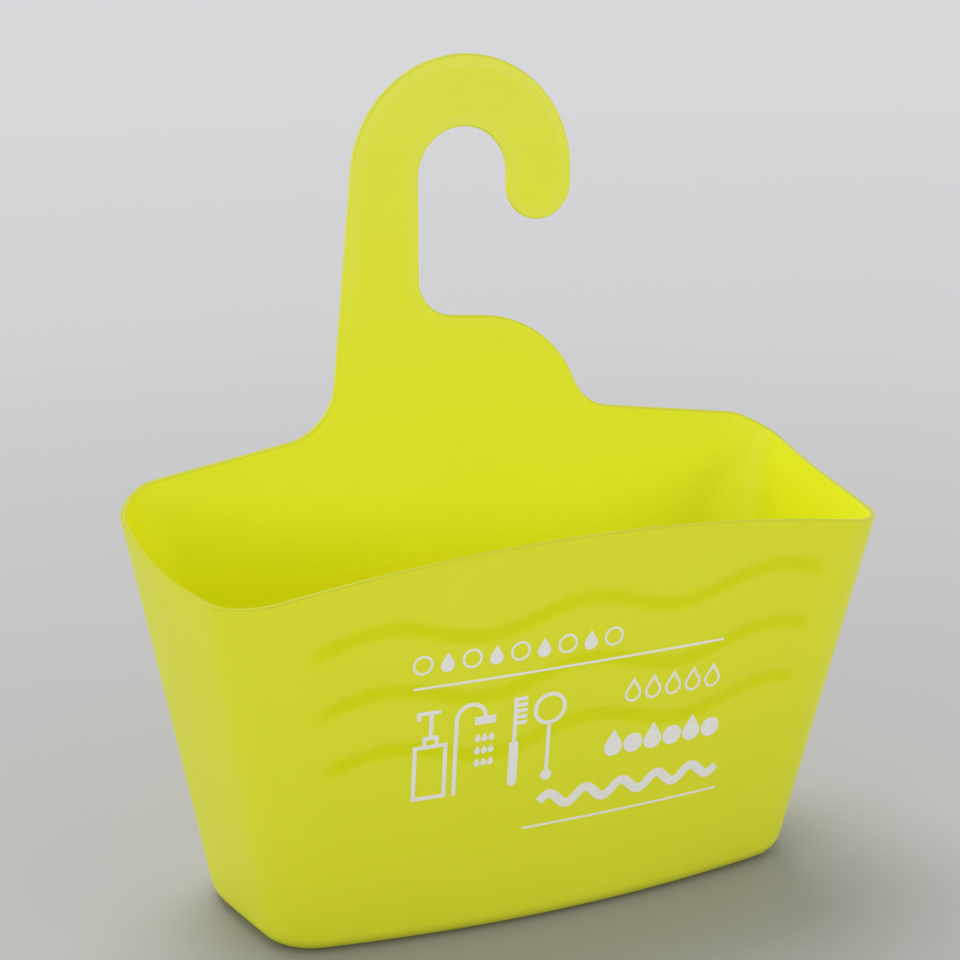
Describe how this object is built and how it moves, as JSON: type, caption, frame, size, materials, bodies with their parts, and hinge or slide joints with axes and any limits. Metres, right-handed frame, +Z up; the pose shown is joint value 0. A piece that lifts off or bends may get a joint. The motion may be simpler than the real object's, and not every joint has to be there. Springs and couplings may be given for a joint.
{
  "type": "shower caddy",
  "caption": "Hanging plastic shower basket with a bowed front, a flat back wall and an integral open hook for a shower arm.",
  "frame": {"origin": "on the ground, under the middle of the overall box", "axes": "+Z up, +Y towards the flat back wall, -Y towards the bowed and printed front wall, +X to the right seen from the front"},
  "size_m": [0.2798, 0.1162, 0.3108],
  "materials": {
    "moulding": "satin polypropylene",
    "ink": "screen-printed ink"
  },
  "bodies": {
    "root": {"basket_wall": "moulding", "drain_floor": "moulding", "hook_plate": "moulding", "print_rule_upper": "ink", "print_rule_lower": "ink", "print_bubble_row": "ink", "print_pump_bottle": "ink", "print_shower_head": "ink", "print_toothbrush": "ink", "print_hand_mirror": "ink", "print_thin_drops": "ink", "print_bold_drops": "ink", "print_bold_wave": "ink"}
  },
  "joints": []
}
